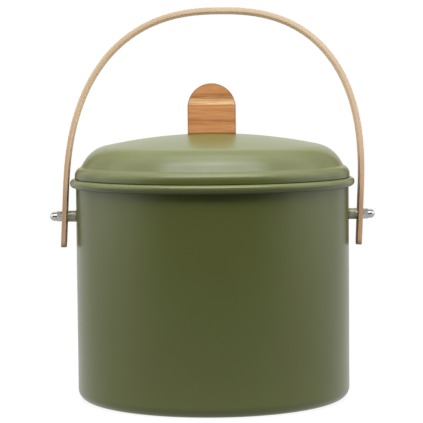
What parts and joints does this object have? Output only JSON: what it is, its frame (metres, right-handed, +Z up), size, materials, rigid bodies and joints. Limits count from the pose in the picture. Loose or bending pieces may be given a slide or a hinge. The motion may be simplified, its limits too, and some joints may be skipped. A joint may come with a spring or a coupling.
{
  "type": "compost bin",
  "caption": "Round steel kitchen compost bin with rolled rim, domed lid with wooden knob and charcoal filter, lift-out inner bucket and bent-wood bail on bolted pivots.",
  "frame": {"origin": "centre of the bucket's underside, on the surface it stands on", "axes": "+Z up, -Y the front, X along the bail's pivot axis"},
  "size_m": [0.2626, 0.2294, 0.3145],
  "materials": {
    "body_paint": "matte olive green powder coat",
    "bail_wood": "bent bamboo strip, clear matt lacquer",
    "knob_wood": "bamboo block, grain across, matt oil",
    "nut_chrome": "polished nickel plate",
    "bolt_steel": "zinc-plated steel",
    "spacer_metal": "turned, dull",
    "liner_plastic": "black polypropylene, fine texture",
    "filter_plastic": "black polypropylene",
    "charcoal_felt": "needled felt with active charcoal",
    "seal_rubber": "soft silicone"
  },
  "bodies": {
    "bucket": {"bucket_shell": "body_paint", "pivot_bolt_left": "bolt_steel", "pivot_bolt_right": "bolt_steel", "inner_washer_left": "bolt_steel", "inner_washer_right": "bolt_steel", "pivot_spacer_left": "spacer_metal", "pivot_spacer_right": "spacer_metal", "dome_nut_left": "nut_chrome", "dome_nut_right": "nut_chrome"},
    "bail": {"bail": "bail_wood"},
    "lid": {"lid_shell": "body_paint", "lid_collar": "body_paint", "lid_seal": "seal_rubber", "lid_knob": "knob_wood", "knob_screws": "bolt_steel", "knob_washers": "bolt_steel", "filter_frame": "filter_plastic", "charcoal_filter": "charcoal_felt"},
    "grille": {"filter_grille": "filter_plastic"},
    "inner_bucket": {"inner_bucket": "liner_plastic"}
  },
  "joints": [
    {"name": "bail_swing", "type": "hinge", "parent": "bucket", "child": "bail", "pos_m": [0, 0, 0.1475], "axis": [1, 0, 0], "range_deg": [-126.2, 133.8]},
    {"name": "lid_lift", "type": "slide", "parent": "bucket", "child": "lid", "axis": [0, 0, 1], "range_m": [0, 0.02]},
    {"name": "grille_twist", "type": "hinge", "parent": "lid", "child": "grille", "pos_m": [0, 0, 0.195], "axis": [0, 0, -1], "range_deg": [0, 30]},
    {"name": "inner_bucket_lift", "type": "slide", "parent": "bucket", "child": "inner_bucket", "axis": [0, 0, 1], "range_m": [0, 0.015]}
  ]
}
